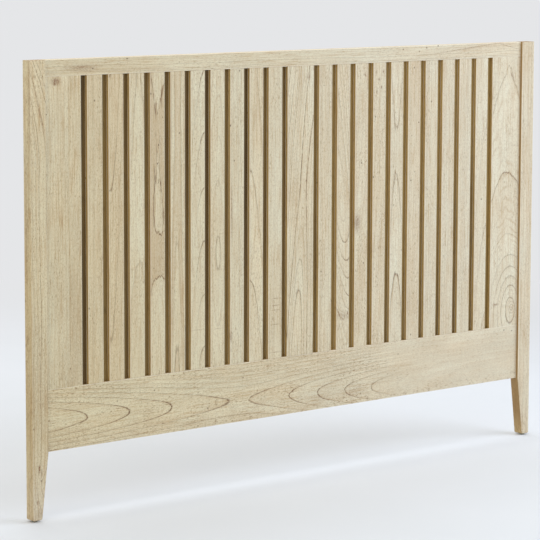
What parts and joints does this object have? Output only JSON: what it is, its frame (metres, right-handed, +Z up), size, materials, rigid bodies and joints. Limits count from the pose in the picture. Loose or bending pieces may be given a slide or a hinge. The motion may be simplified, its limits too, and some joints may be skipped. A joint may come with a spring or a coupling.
{
  "type": "headboard",
  "caption": "Freestanding slatted wooden headboard: two tapered legs, top and bottom rails, wide stiles and flush upright slats over a recessed back board.",
  "frame": {"origin": "on the floor under the middle of the headboard: half way between the outsides of the legs and half way through their depth", "axes": "+X to the right seen from the front, the slatted front faces -Y, +Z up; the back lies in the plane y = +0.015 m"},
  "size_m": [1.65, 0.03, 1.1],
  "materials": {
    "limed_wood": "bleached open-grain wood, matt",
    "back_board": "brown stained plywood, matt",
    "screw_steel": "zinc plated",
    "glide_plastic": "translucent grey nylon"
  },
  "bodies": {
    "root": {"left_leg": "limed_wood", "right_leg": "limed_wood", "top_rail": "limed_wood", "bottom_rail": "limed_wood", "left_stile": "limed_wood", "right_stile": "limed_wood", "left_slat_01": "limed_wood", "left_slat_02": "limed_wood", "left_slat_03": "limed_wood", "left_slat_04": "limed_wood", "left_slat_05": "limed_wood", "left_slat_06": "limed_wood", "left_slat_07": "limed_wood", "left_slat_08": "limed_wood", "left_slat_09": "limed_wood", "left_slat_10": "limed_wood", "right_slat_01": "limed_wood", "right_slat_02": "limed_wood", "right_slat_03": "limed_wood", "right_slat_04": "limed_wood", "right_slat_05": "limed_wood", "right_slat_06": "limed_wood", "right_slat_07": "limed_wood", "right_slat_08": "limed_wood", "right_slat_09": "limed_wood", "right_slat_10": "limed_wood", "centre_slat": "limed_wood", "back_board": "back_board", "board_screws": "screw_steel", "left_glide": "glide_plastic", "right_glide": "glide_plastic", "glide_nails": "screw_steel"}
  },
  "joints": []
}
